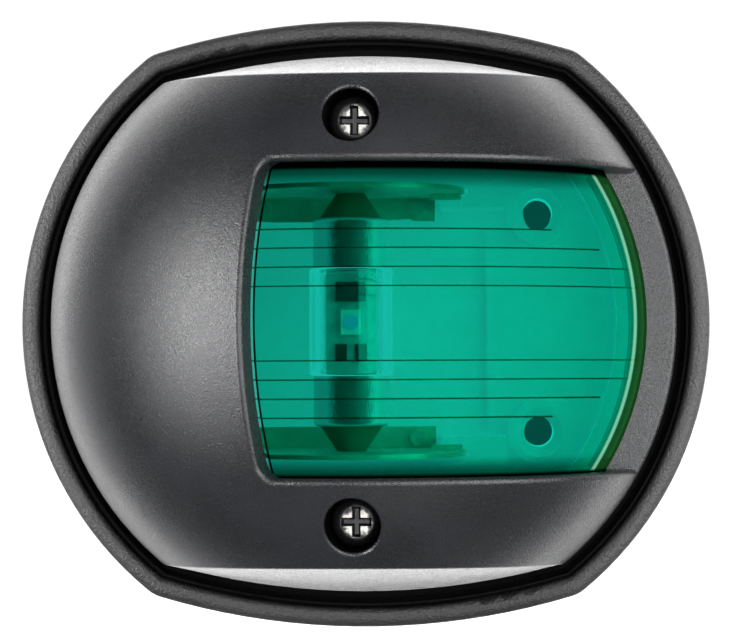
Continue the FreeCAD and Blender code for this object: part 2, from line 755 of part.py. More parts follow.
def dome_loft(name, inset):
    """The tapering block whose upper and lower walls cut the dome off."""
    foot = loose_sketch(f"{name}_foot", dims.base_top)
    spread = dims.dome_radius + dims.foot_spread
    foot_sizes = (spread - inset, dims.foot_crown - inset, dims.foot_radius - inset)
    draw_outline(foot, *foot_sizes, dims.foot_corner - inset / 2)
    peak = loose_sketch(f"{name}_peak", dims.peak_height)
    peak_sizes = (dims.peak_side - inset, dims.peak_crown - inset, dims.peak_radius - inset)
    draw_outline(peak, *peak_sizes, dims.foot_corner - inset / 2)
    loft = doc.addObject("Part::Loft", name)
    loft.Sections = [foot, peak]
    loft.Solid = True
    loft.Ruled = True
    return loft


def window_profile(shift, sill):
    """The sector's straight edge, and a sill at its foot, as corners in x and height."""
    lean = tangent(dims.sector)
    far = 50
    start_x = dims.bulb_x - shift
    rise = far - dims.bulb_height
    points = [(start_x, dims.bulb_height), (start_x - rise * lean, far), (far, far)]
    if sill:
        drop = (far - dims.sill_x) * tangent(dims.sill_slope)
        points.append((far, dims.sill_height - drop))
        points.append((dims.sill_x - 12, dims.sill_height + 12 * tangent(dims.sill_slope)))
    else:
        points.append((far, dims.lens_foot))
        points.append((start_x, dims.lens_foot))
    return points


def build_cover():
    """Black moulding: a dome with flat brows, a sector window and two screw recesses."""
    block = dome_loft("cover_block", as_size(0))
    dome = ball("cover_ball", dims.dome_radius)
    front = box("cover_front", -60, 60, -60, 60, dims.neck_top, 60)
    shape = common("cover_shape", dome, front, block)
    neck_sketch = loose_sketch("neck_outline", dims.base_top)
    inset = dims.neck_inset
    neck_sizes = (dims.dome_radius - inset, dims.foot_crown - inset, dims.foot_radius - inset)
    draw_outline(neck_sketch, *neck_sizes, dims.foot_corner - inset)
    neck = prism("cover_neck", neck_sketch, dims.neck_top - dims.base_top)
    flange_sketch = loose_sketch("flange_outline", dims.base_top)
    draw_outline(flange_sketch, *family(dims.flange_inset))
    flange = prism("cover_flange", flange_sketch, dims.flange_top - dims.base_top)
    solid = fuse("cover_solid", shape, neck, flange)
    cavity_block = dome_loft("cavity_block", dims.crown_wall)
    cavity_ball = ball("cavity_ball", dims.dome_radius - dims.cover_wall)
    cavity_drum = post("cavity_drum", dims.skirt_bore, dims.base_top, 50)
    cavity = common("cover_cavity", cavity_block, cavity_ball, cavity_drum)
    shell = cut("cover_shell", solid, cavity)
    tubes = []
    tools = []
    for side, sign in (("top", 1), ("bottom", -1)):
        up = sign * dims.screw_up
        tubes.append(post(f"screw_tube_{side}", dims.boss_radius, dims.boss_foot, 40, 0, up))
        tools.append(post(f"recess_{side}", dims.recess_radius, dims.recess_floor, 50, 0, up))
        tools.append(post(f"shank_hole_{side}", dims.screw_hole, 15, 30, 0, up))
    inside = ball("tube_ball", dims.dome_radius - dims.cover_wall / 2)
    tube_block = dome_loft("tube_block", dims.crown_wall / 2)
    tube_pair = common("screw_tubes", fuse("tube_posts", *tubes), inside, tube_block)
    bossed = fuse("cover_bossed", shell, tube_pair)
    window = profile_prism("window_prism", window_profile(0, True), dims.window_half)
    doc.recompute()
    corners = []
    for index, edge in enumerate(window.Shape.Edges, start=1):
        ends = [vertex.Point for vertex in edge.Vertexes]
        flat = abs(ends[0].y - ends[1].y) < 0.01
        aft = all(end.x < dims.bulb_x.value + 0.01 for end in ends)
        if flat and aft:
            corners.append((index, dims.window_corner.value, dims.window_corner.value))
    window_tool = doc.addObject("Part::Fillet", "window_tool")
    window_tool.Base = window
    window_tool.Edges = corners
    opened = cut("cover_opened", bossed, fuse("cover_tools", window_tool, *tools))
    body = body_round("cover", opened)
    centre = Vector(0, 0, dims.dome_centre.value)
    radius = dims.dome_radius.value

    def on_dome(point):
        return abs(point.sub(centre).Length - radius) < 0.02

    def outer_loop(edge, middle):
        return on_dome(middle) and middle.z > dims.dome_centre.value + 0.5

    def window_edge(edge, middle):
        in_window = abs(middle.y) < dims.window_half.value + 0.05
        return outer_loop(edge, middle) and in_window and middle.z > dims.dome_centre.value + 1

    def mouth(edge, middle):
        offset = math.hypot(middle.x, abs(middle.y) - dims.screw_up.value)
        round_edge = abs(offset - dims.recess_radius.value) < 0.05
        return outer_loop(edge, middle) and round_edge

    def brow(edge, middle):
        return outer_loop(edge, middle) and not window_edge(edge, middle) and not mouth(edge, middle)

    round_edges(body, "window_rounding", dims.window_round, window_edge)
    round_edges(body, "mouth_rounding", dims.recess_round, mouth)
    round_edges(body, "brow_rounding", dims.edge_round, brow)


def build_lens():
    """Green moulding behind the window: a dome, a straight skirt and fine step lines."""
    bore = dims.skirt_bore - dims.skirt_gap
    outer_radius = dims.dome_radius - dims.cover_wall - dims.lens_gap
    outer_ball = ball("lens_ball", outer_radius)
    outer_drum = post("lens_drum", bore, dims.lens_foot, 50)
    region = profile_prism("lens_region", window_profile(dims.lens_tuck, False), dims.lens_half)
    outer = common("lens_outer", outer_ball, outer_drum, region)
    inner_radius = outer_radius - dims.lens_wall
    inner_ball = ball("lens_inner_ball", inner_radius)
    inner_drum = post("lens_inner_drum", bore - dims.lens_wall, 0, 50)
    inner = common("lens_inner", inner_ball, inner_drum)
    flange_ball = ball("flange_ball", outer_radius - dims.lens_flange)
    flange_drum = post("flange_drum", bore - dims.lens_flange, 0, 50)
    window_part = profile_prism("lens_window_part", window_profile(0, False), dims.lens_body_half)
    flange_round = common("flange_round", flange_ball, flange_drum)
    behind_flange = cut("lens_behind_flange", flange_round, window_part)
    notches = [
        post(f"lens_notch_{side}", dims.boss_radius + dims.notch_gap, 0, 50, 0, sign * dims.screw_up)
        for side, sign in (("top", 1), ("bottom", -1))
    ]
    flutes = []
    for index in range(4):
        away = dims.flute_first + index * dims.flute_pitch
        reach = dims.flute_reach - index * index * dims.flute_taper
        for side, sign in (("top", 1), ("bottom", -1)):
            half = dims.flute_width / 2
            up = dims.flute_middle + sign * away
            flutes.append(box(f"flute_{side}_{index}", -25, reach, up - half, up + half, 5, 50))
    flute_ball = ball("flute_ball", inner_radius + dims.flute_depth)
    flute_tool = common("flute_tool", fuse("flute_bars", *flutes), flute_ball)
    lens = cut("lens_whole", outer, fuse("lens_tools", inner, behind_flange, *notches, flute_tool))
    finish_with_booleans("lens", lens)


# ---------------------------------------------------------------- cover screws


def build_screw(side, sign):
    """Pan head screw with a cross slot. Its thread's outside is drawn as a plain shank."""
    body = new_body(f"cover_screw_{side}")
    body.Placement = Placement(Vector(0, 0, 0), ON_WALL.Rotation)
    drive(body, "Placement.Base.z", sign * dims.screw_up)
    seat = dims.recess_floor + dims.washer_thick
    top = seat + dims.head_thick
    profile = body_sketch(body, f"screw_profile_{side}", role="XZ_Plane")
    point = dims.shank_radius / 3
    points = [
        (0, dims.shank_tip),
        (point, dims.shank_tip),
        (dims.shank_radius, dims.shank_end),
        (dims.shank_radius, seat),
        (dims.head_radius, seat),
        (dims.head_radius, top),
        (0, top),
    ]
    draw_polygon(profile, points)
    revolve(body, f"screw_turned_{side}", profile, "V_Axis")

    def front_rim(edge, middle):
        return abs(middle.z - top.value) < 0.01

    round_edges(body, f"head_rounding_{side}", dims.head_round, front_rim)
    cross = body_sketch(body, f"cross_outline_{side}", height=top)
    arm, span = dims.cross_width / 2, dims.cross_span / 2
    points = [
        (arm, span), (arm, arm), (span, arm), (span, -arm), (arm, -arm), (arm, -span),
        (-arm, -span), (-arm, -arm), (-span, -arm), (-span, arm), (-arm, arm), (-arm, span),
    ]
    draw_polygon(cross, points)
    slot = pocket_back(body, f"cross_slot_{side}", cross, dims.cross_depth)
    slot.TaperAngle = -12


def build_washer(side, sign):
    """Rubber seal under a cover screw's head."""
    low, high = dims.recess_floor, dims.recess_floor + dims.washer_thick
    up = sign * dims.screw_up
    ring = post(f"washer_ring_{side}", dims.washer_outer, low, high, 0, up)
    hole = post(f"washer_hole_{side}", dims.washer_inner, low - 1, high + 1, 0, up)
    finish_with_booleans(f"screw_seal_{side}", cut(f"washer_{side}", ring, hole))


# ---------------------------------------------------------------- bulb


def bulb_body(name):
    """A body whose own origin is the middle of the bulb and whose Z axis is the bulb's axis."""
    body = doc.addObject("PartDesign::Body", name)
    body.Label = name
    nodes.append(body)
    drive(body, "Placement.Base.x", dims.bulb_x)
    drive(body, "Placement.Base.y", -dims.bulb_height)
    return body


def bulb_part(name, thing):
    """A Part object drawn about the bulb's middle, made a node in the bulb's place."""
    thing.Label = name
    nodes.append(thing)
    drive(thing, "Placement.Base.x", dims.bulb_x)
    drive(thing, "Placement.Base.y", -dims.bulb_height)
    return thing


def build_tube():
    """Clear tube with a narrower neck at each end."""
    body = bulb_body("bulb_tube")
    profile = body_sketch(body, "tube_profile", role="XZ_Plane")
    outer, neck, wall = dims.tube_radius, dims.neck_radius, dims.tube_wall
    half, end = dims.tube_half, dims.neck_end
    points = [
        (outer, -half),
        (outer, half),
        (neck, half),
        (neck, end),
        (neck - wall, end),
        (neck - wall, half - wall),
        (outer - wall, half - wall),
        (outer - wall, wall - half),
        (neck - wall, wall - half),
        (neck - wall, -end),
        (neck, -end),
        (neck, -half),
    ]
    draw_polygon(profile, points)
    revolve(body, "tube_turned", profile, "V_Axis")
    shoulder = half.value
    radius = outer.value

    def rim(edge, middle):
        at_shoulder = abs(abs(middle.z) - shoulder) < 0.01
        return at_shoulder and abs(math.hypot(middle.x, middle.y) - radius) < 0.01

    round_edges(body, "tube_rounding", 0.35, rim)


def build_cap(side, sign):
    """Sheet metal cap: a short drum, a shoulder and a cone with a hole in its end."""
    body = bulb_body(f"bulb_cap_{side}")
    profile = body_sketch(body, f"cap_profile_{side}", role="XZ_Plane")
    outer, wall = dims.cap_radius, dims.cap_wall
    start, end, tip = dims.tube_half, dims.cap_end, dims.cone_end
    points = [
        (outer, start),
        (outer, end),
        (dims.cone_radius, end),
        (dims.tip_radius, tip),
        (dims.solder_radius, tip),
        (dims.solder_radius, tip - wall),
        (dims.cone_radius - wall, end - wall),
        (outer - wall, end - wall),
        (outer - wall, start),
    ]
    draw_polygon(profile, [(x, sign * height) for x, height in points])
    revolve(body, f"cap_turned_{side}", profile, "V_Axis")
    shoulder = end.value

    def rim(edge, middle):
        at_shoulder = abs(abs(middle.z) - shoulder) < 0.01
        return at_shoulder and abs(math.hypot(middle.x, middle.y) - outer.value) < 0.01

    round_edges(body, f"cap_rounding_{side}", dims.cap_round, rim)


def build_solder(side, sign):
    """Bead of solder that closes a cap's cone."""
    body = bulb_body(f"cap_solder_{side}")
    profile = body_sketch(body, f"solder_profile_{side}", role="XZ_Plane")
    radius, low, tip = dims.solder_radius, dims.solder_low, dims.solder_tip
    low, tip = sign * low, sign * tip
    draw_polygon(profile, [(0, low), (radius, low), (radius, tip), (0, tip)])
    revolve(body, f"solder_turned_{side}", profile, "V_Axis")

    def outer_end(edge, middle):
        return abs(middle.z - tip.value) < 0.01

    round_edges(body, f"solder_rounding_{side}", 0.25, outer_end)


def chip(name, left, right, low, high, back, front):
    """A block inside the bulb. Its depth runs towards the front, which is -Y."""
    return bulb_part(name, offset_block(name, left, right, low, high, back, front))


def offset_block(name, left, right, low, high, back, front):
    """A block given about the bulb's middle, so that one placement carries it there."""
    thing = doc.addObject("Part::Box", f"{name}_block")
    drive(thing, "Length", as_size(right) - left)
    drive(thing, "Width", as_size(front) - back)
    drive(thing, "Height", as_size(high) - low)
    drive(thing, "Placement.Base.x", left)
    drive(thing, "Placement.Base.y", -as_size(front))
    drive(thing, "Placement.Base.z", low)
    holder = doc.addObject("Part::Compound", f"{name}_holder")
    holder.Links = [thing]
    return holder


def build_board():
    """Circuit board, its light chip with a round window, a driver chip and two resistors."""
    width, half, thick = dims.board_half_width, dims.board_half, dims.board_thick
    face = thick / 2
    chip("bulb_board", -width, width, -half, half, -face, face)
    led_w, led_l = dims.led_width / 2, dims.led_length / 2
    led_face = face + dims.led_thick
    chip("led_chip", -led_w, led_w, -led_l, led_l, face, led_face)
    body = bulb_body("led_window")
    sketch = body_sketch(body, "led_window_circle", role="XZ_Plane", height=led_face)
    draw_circle(sketch, dims.window_radius)
    pad(body, "led_window_disc", sketch, dims.window_thick)
    wide, tall = dims.driver_width / 2, dims.driver_length / 2
    up = dims.driver_up
    chip("driver_chip", -wide, wide, up - tall, up + tall, face, face + dims.driver_thick)
    wide, tall = dims.resistor_width / 2, dims.resistor_length / 2
    up = dims.resistor_up
    blocks = []
    for name, sign in (("aft", -1), ("fore", 1)):
        middle = sign * dims.resistor_x
        sides = (middle - wide, middle + wide, up - tall, up + tall)
        blocks.append(offset_block(f"resistor_{name}", *sides, face, face + dims.resistor_thick))
    pair = doc.addObject("Part::Compound", "resistor_pair")
    pair.Links = blocks
    bulb_part("board_resistors", pair)


def build_wire(side, sign):
    """Wire from the end of the board to the solder in a cap's cone."""
    body = bulb_body(f"bulb_wire_{side}")
    start = dims.board_half if sign > 0 else -dims.solder_low
    sketch = body_sketch(body, f"wire_circle_{side}", height=start)
    draw_circle(sketch, dims.wire_radius)
    pad(body, f"wire_run_{side}", sketch, dims.solder_low - dims.board_half)


# ---------------------------------------------------------------- whole light


def build_light():
    build_gasket()
    build_base()
    build_seal()
    build_grommet()
    build_cover()
    build_lens()
    build_tube()
    build_board()
    for side, sign in (("top", 1), ("bottom", -1)):
        build_contact_plate(side, sign)
        build_rivets(side, sign)
        build_screw(side, sign)
        build_washer(side, sign)
        build_cap(side, sign)
        build_solder(side, sign)
        build_wire(side, sign)


def check_model():
    """Stops the build if any object failed or any node's shape is unusable."""
    doc.recompute()
    failed = [item.Label for item in doc.Objects if set(item.State) & {"Invalid", "Error"}]
    if failed:
        raise RuntimeError(f"failed objects: {failed}")
    for node in nodes:
        shape = node.Shape
        if shape.isNull() or not shape.isValid() or not shape.Solids:
            raise RuntimeError(f"{node.Label}: bad shape")


def write_parts():
    """Writes each node's shape to its own file."""
    os.makedirs("parts", exist_ok=True)
    for node in nodes:
        node.Shape.exportStep(f"parts/{node.Label}.step")
        print(f"{node.Label}: {len(node.Shape.Solids)} solid, {node.Shape.Volume:.1f} mm3")


build_light()
check_model()
write_parts()
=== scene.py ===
"""Starboard navigation light: looks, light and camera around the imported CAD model.

Metres, +Z up, +X forward. The wall is at Y = 0 and the light stands out of it towards -Y.
"""

import math

import bpy
from mathutils import Matrix, Vector


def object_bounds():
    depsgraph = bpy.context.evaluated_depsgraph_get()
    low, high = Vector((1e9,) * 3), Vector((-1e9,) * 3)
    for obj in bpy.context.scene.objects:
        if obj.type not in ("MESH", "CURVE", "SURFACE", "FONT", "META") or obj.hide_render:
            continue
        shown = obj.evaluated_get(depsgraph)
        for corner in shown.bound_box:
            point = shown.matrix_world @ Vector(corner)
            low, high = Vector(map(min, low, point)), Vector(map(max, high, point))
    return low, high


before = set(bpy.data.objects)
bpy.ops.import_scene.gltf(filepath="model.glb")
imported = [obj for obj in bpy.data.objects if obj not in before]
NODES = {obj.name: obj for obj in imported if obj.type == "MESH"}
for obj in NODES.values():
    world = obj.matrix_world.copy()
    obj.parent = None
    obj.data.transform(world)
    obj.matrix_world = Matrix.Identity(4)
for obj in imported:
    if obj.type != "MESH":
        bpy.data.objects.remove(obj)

cad_low, cad_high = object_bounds()
MM = 0.001

# Sizes of the CAD model that the materials' masks follow.
SCREW_UP = 22.0 * MM          # cover screws, above and below the middle
RECESS_RADIUS = 3.05 * MM     # just outside the wall of a screw's recess
BROW_UP = 20 * MM             # the flat brows lie beyond this
DOME_CENTRE = 5.9 * MM        # height of the centre of the dome and the lens
LENS_INSIDE = 33.0 * MM       # radius between the lens's inner and outer faces
STEP_DROP = 0.4 * MM          # the step lines' middle lies this far below the light's
STEP_FIRST = 3.9 * MM         # first step line, from that middle
STEP_PITCH = 2.0 * MM         # distance between step lines
STEP_REACH = 30.2 * MM        # forward end of the first step line
STEP_TAPER = 1.02 * MM        # how much sooner the outer step lines end
STEP_WIDTH = 0.036            # half width of a step line, in pitches


# ---------------------------------------------------------------- material helpers


def feed(tree, socket, value):
    """Links a socket or a node's first output to an input, or sets the input's own value."""
    if isinstance(value, bpy.types.NodeSocket):
        tree.links.new(value, socket)
    elif isinstance(value, bpy.types.Node):
        tree.links.new(value.outputs[0], socket)
    else:
        socket.default_value = value


def add_node(tree, kind, inputs=None, **settings):
    node = tree.nodes.new(kind)
    for key, value in settings.items():
        setattr(node, key, value)
    for key, value in (inputs or {}).items():
        feed(tree, node.inputs[key], value)
    return node


class Nodes:
    """A material's node tree, with one short call for each kind of node it uses."""

    def __init__(self, name):
        self.material = bpy.data.materials.new(name)
        self.material.use_nodes = True
        self.tree = self.material.node_tree
        self.tree.nodes.clear()
        self.output = self.tree.nodes.new("ShaderNodeOutputMaterial")
        texture = self.tree.nodes.new("ShaderNodeTexCoord")
        self.place = texture.outputs["Object"]
        self.facing_way = texture.outputs["Normal"]

    def add(self, kind, inputs=None, **settings):
        return add_node(self.tree, kind, inputs, **settings)

    def noise(self, scale, detail=2.0, roughness=0.5, place=None):
        inputs = {"Vector": place or self.place, "Scale": scale, "Detail": detail, "Roughness": roughness}
        return self.add("ShaderNodeTexNoise", inputs).outputs["Fac"]

    def cells(self, scale):
        inputs = {"Vector": self.place, "Scale": scale}
        return self.add("ShaderNodeTexVoronoi", inputs).outputs["Distance"]

    def remap(self, value, low, high, out_low, out_high):
        inputs = {"Value": value, "From Min": low, "From Max": high, "To Min": out_low, "To Max": out_high}
        return self.add("ShaderNodeMapRange", inputs).outputs["Result"]

    def math(self, operation, a, b=0.0):
        return self.add("ShaderNodeMath", {0: a, 1: b}, operation=operation).outputs[0]

    def blend(self, factor, a, b):
        """Mixes two colours. The colour sockets of a mix node are its sixth and seventh inputs."""
        return self.add("ShaderNodeMix", {0: factor, 6: a, 7: b}, data_type="RGBA").outputs[2]

    def bump(self, height, strength, distance):
        inputs = {"Height": height, "Strength": strength, "Distance": distance}
        return self.add("ShaderNodeBump", inputs).outputs["Normal"]

    def stretched(self, x, y, z):
        inputs = {"Vector": self.place, "Scale": (x, y, z)}
        return self.add("ShaderNodeMapping", inputs).outputs["Vector"]

    def split(self, vector):
        """The X, Y and Z of a vector."""
        return self.add("ShaderNodeSeparateXYZ", {0: vector}).outputs

    def length(self, vector):
        return self.add("ShaderNodeVectorMath", {0: vector}, operation="LENGTH").outputs["Value"]

    def both(self, a, b):
        return self.math("MULTIPLY", a, b)

    def surface(self, inputs):
        shader = self.add("ShaderNodeBsdfPrincipled", inputs)
        feed(self.tree, self.output.inputs["Surface"], shader)

    def lets_lamps_through(self, body, colour):
        """Uses the shader for the eye, and plain see-through colour for the lamps' own rays."""
        through = self.add("ShaderNodeBsdfTransparent", {"Color": colour})
        shadow_ray = self.add("ShaderNodeLightPath").outputs["Is Shadow Ray"]
        mix = self.add("ShaderNodeMixShader", {0: shadow_ray, 1: body, 2: through})
        feed(self.tree, self.output.inputs["Surface"], mix)


def grey(value):
    return (value, value, value, 1.0)


def grained_plastic(name, colour, lighter, roughness, grain, depth):
    """Moulded plastic with a fine grain. Its brows get a painted sheen, and its foot and screw recesses
    painted shade.
    """
    m = Nodes(name)
    coarse = m.noise(90, 3)
    fine = m.noise(1 / grain, 2, 0.55)
    sparkle = m.noise(2.6 / grain, 1)
    across, outwards, up = m.split(m.place)
    away = m.math("ABSOLUTE", up)
    # Painted sheen on the flat brows, standing in for their glancing reflection of the backdrop. It is kept
    # off the painted shade.
    upright = m.remap(m.math("ABSOLUTE", m.split(m.facing_way)[2]), 0.88, 0.93, 0.0, 1.0)
    painted_brow_sheen = m.both(upright, m.math("GREATER_THAN", away, BROW_UP))
    # Painted shade in the groove at the cover's foot and inside the screw recesses: near-black, rougher, with
    # little gloss.
    foot = m.remap(outwards, -6.0 * MM, -5.5 * MM, 0.0, 1.0)
    from_screw = m.add("ShaderNodeCombineXYZ", {0: across, 2: m.math("SUBTRACT", away, SCREW_UP)})
    recess = m.math("LESS_THAN", m.length(from_screw), RECESS_RADIUS)
    painted_shade = m.math("MAXIMUM", foot, recess)
    seen = m.remap(painted_shade, 0.0, 1.0, 1.0, 0.0)
    tint = m.blend(m.remap(coarse, 0.3, 0.7, 0.0, 1.0), colour, lighter)
    tint = m.blend(painted_shade, tint, grey(0.001))
    cloudy = m.remap(coarse, 0.25, 0.75, roughness - 0.05, roughness + 0.05)
    rough = m.math("ADD", cloudy, m.remap(fine, 0.3, 0.7, -0.08, 0.08))
    rough = m.math("ADD", rough, m.both(painted_shade, 0.5))
    ragged = m.remap(m.noise(900, 3, 0.7), 0.35, 0.65, 0.35, 0.55)
    grain_height = m.math("ADD", fine, m.both(sparkle, 0.35))
    m.surface({
        "Base Color": tint,
        "Roughness": rough,
        "Specular IOR Level": m.remap(painted_shade, 0.0, 1.0, 0.5, 0.05),
        "Sheen Weight": m.both(m.both(painted_brow_sheen, ragged), seen),
        "Sheen Roughness": 0.3,
        "Normal": m.bump(grain_height, 0.7, depth),
    })
    return m.material


def rubber(name, colour, roughness, bead=False):
    """Black rubber with fine grain, bloom and dust. A bead gets painted light towards its sides, and painted
    shade on its inner side and its low parts.
    """
    m = Nodes(name)
    bloom = m.noise(45, 4, 0.6)
    fine = m.noise(3000, 2, 0.6)
    streaks = m.noise(260, 2, 0.5, m.stretched(1.0, 6.0, 1.0))
    dust = m.remap(m.cells(700), 0.0, 0.06, 1.0, 0.0)
    dust = m.both(dust, m.remap(m.noise(90), 0.5, 0.6, 0.0, 1.0))
    tint = m.blend(m.remap(bloom, 0.3, 0.75, 0.0, 1.0), colour, grey(colour[0] * 1.6))
    tint = m.blend(m.both(dust, 0.6), tint, grey(0.4))
    specular = 0.5
    if bead:
        across, height, up = m.split(m.place)
        # Painted light: the bead is paler towards its left and right sides.
        sides = m.remap(m.math("ABSOLUTE", across), 20 * MM, 38 * MM, 0.0, 1.0)
        painted_side_light = m.both(sides, m.remap(bloom, 0.35, 0.65, 0.6, 1.0))
        tint = m.blend(painted_side_light, tint, grey(colour[0] * 4.0))
        # Painted shade: near-black, with little gloss, on the bead's inner side and its low parts.
        outwards = m.add("ShaderNodeCombineXYZ", {0: across, 2: up})
        outwards = m.add("ShaderNodeVectorMath", {0: outwards}, operation="NORMALIZE")
        turned = m.add("ShaderNodeVectorMath", {0: outwards, 1: m.facing_way}, operation="DOT_PRODUCT")
        inner = m.remap(turned.outputs["Value"], -0.75, -0.2, 1.0, 0.0)
        low = m.math("GREATER_THAN", height, -4.4 * MM)
        floor = m.both(low, m.math("LESS_THAN", turned.outputs["Value"], 0.3))
        inner = m.math("MAXIMUM", inner, floor)
        tint = m.blend(inner, tint, grey(0.001))
        specular = m.remap(inner, 0.0, 1.0, 0.5, 0.03)
    grain = m.math("ADD", fine, m.both(streaks, 0.6))
    rough = m.remap(bloom, 0.3, 0.7, roughness - 0.06, roughness + 0.08)
    m.surface({
        "Base Color": tint,
        "Roughness": rough,
        "Specular IOR Level": specular,
        "Normal": m.bump(grain, 0.7, 0.0003),
    })
    return m.material


def white_plastic():
    """The base's white ABS, satin, with a painted glow that evens out the light on it."""
    m = Nodes("white_abs")
    cloud = m.noise(70, 3)
    fine = m.noise(2400, 2)
    tint = m.blend(m.remap(cloud, 0.3, 0.7, 0.0, 1.0), (0.36, 0.365, 0.36, 1), (0.41, 0.415, 0.405, 1))
    rough = m.remap(cloud, 0.3, 0.7, 0.4, 0.55)
    m.surface({
        "Base Color": tint,
        "Roughness": rough,
        "Normal": m.bump(fine, 0.25, 0.00003),
        # Painted light: a faint, even glow.
        "Emission Color": (0.95, 1.0, 0.98, 1),
        "Emission Strength": 0.325,
    })
    return m.material


def metal(name, colour, roughness, brush=(1.0, 1.0, 1.0), metallic=1.0):
    """Bare or plated metal with fine drawn marks and a little tarnish."""
    m = Nodes(name)
    marks = m.noise(1500, 3, 0.6, m.stretched(*brush))
    patches = m.noise(220, 3, 0.6)
    dull = tuple(c * 0.75 for c in colour[:3]) + (1.0,)
    tint = m.blend(m.remap(patches, 0.35, 0.7, 0.0, 1.0), colour, dull)
    rough = m.remap(patches, 0.3, 0.7, roughness - 0.05, roughness + 0.08)
    rough = m.math("ADD", rough, m.remap(marks, 0.3, 0.7, -0.04, 0.06))
    m.surface({
        "Base Color": tint,
        "Metallic": metallic,
        "Roughness": rough,
        "Normal": m.bump(marks, 0.2, 0.00002),
    })
    return m.material


def cap_metal(name, dark_facing_reflection, pale_side_reflection):
    """Plated cap with painted reflections, dark where it faces the eye and pale round its sides, and a faint
    painted glow round the sides of its drum.
    """
    m = Nodes(name)
    marks = m.noise(1500, 3, 0.6, m.stretched(6, 6, 1))
    patches = m.noise(220, 3, 0.6)
    facing = m.add("ShaderNodeLayerWeight", {"Blend": 0.5}).outputs["Facing"]
    ragged = m.math("ADD", facing, m.remap(marks, 0.3, 0.7, -0.06, 0.06))
    away = m.math("ABSOLUTE", m.split(m.place)[2])
    drum = m.remap(away, 11.4 * MM, 11.7 * MM, 1.0, 0.0)
    # Painted reflection: dark facing the eye, pale towards the sides.
    tint = m.blend(m.remap(ragged, 0.08, 0.22, 0.0, 1.0), dark_facing_reflection, pale_side_reflection)
    tint = m.blend(drum, (0.20, 0.17, 0.10, 1), tint)
    rough = m.remap(patches, 0.3, 0.7, 0.42, 0.55)
    # Painted glow round the drum's sides.
    side = m.both(m.remap(ragged, 0.08, 0.24, 0.0, 0.22), drum)
    m.surface({
        "Base Color": tint,
        "Metallic": 0.35,
        "Roughness": rough,
        "Emission Color": (1, 1, 1, 1),
        "Emission Strength": side,
        "Normal": m.bump(marks, 0.3, 0.00004),
    })
    return m.material


def clear(name, ior, roughness, shadow, bump):
    """Clear plastic, with a painted pale glow round its sides, which lets lamp light through."""
    m = Nodes(name)
    shader = m.add("ShaderNodeBsdfPrincipled", {
        "Base Color": (1, 1, 1, 1),
        "Roughness": roughness,
        "IOR": ior,
        "Transmission Weight": 1.0,
        "Specular IOR Level": 0.02,
        "Normal": m.bump(m.noise(180, 2), 0.1, bump),
    })
    # Painted highlight: a pale glow where the tube is seen at a slant.
    facing = m.add("ShaderNodeLayerWeight", {"Blend": 0.5}).outputs["Facing"]
    painted_band_glow = m.remap(facing, 0.28, 0.36, 0.0, 0.75)
    pale = m.add("ShaderNodeEmission", {"Color": (0.9, 0.88, 0.88, 1), "Strength": 0.86})
    body = m.add("ShaderNodeMixShader", {0: painted_band_glow, 1: shader, 2: pale})
    m.lets_lamps_through(body, shadow)
    return m.material


def step_lines(m, x, up, inside):
    """1 along the fine step lines on the lens's inner face, and 0 elsewhere."""
    away = m.math("ABSOLUTE", m.math("ADD", up, STEP_DROP))
    step = m.math("DIVIDE", m.math("SUBTRACT", away, STEP_FIRST), STEP_PITCH)
    nearest = m.math("ROUND", step)
    on_line = m.math("LESS_THAN", m.math("ABSOLUTE", m.math("SUBTRACT", step, nearest)), STEP_WIDTH)
    in_range = m.both(m.math("GREATER_THAN", step, -0.2), m.math("LESS_THAN", step, 3.2))
    reach = m.math("SUBTRACT", STEP_REACH, m.both(m.both(nearest, nearest), STEP_TAPER))
    short = m.math("LESS_THAN", x, reach)
    return m.both(m.both(on_line, in_range), m.both(short, inside))


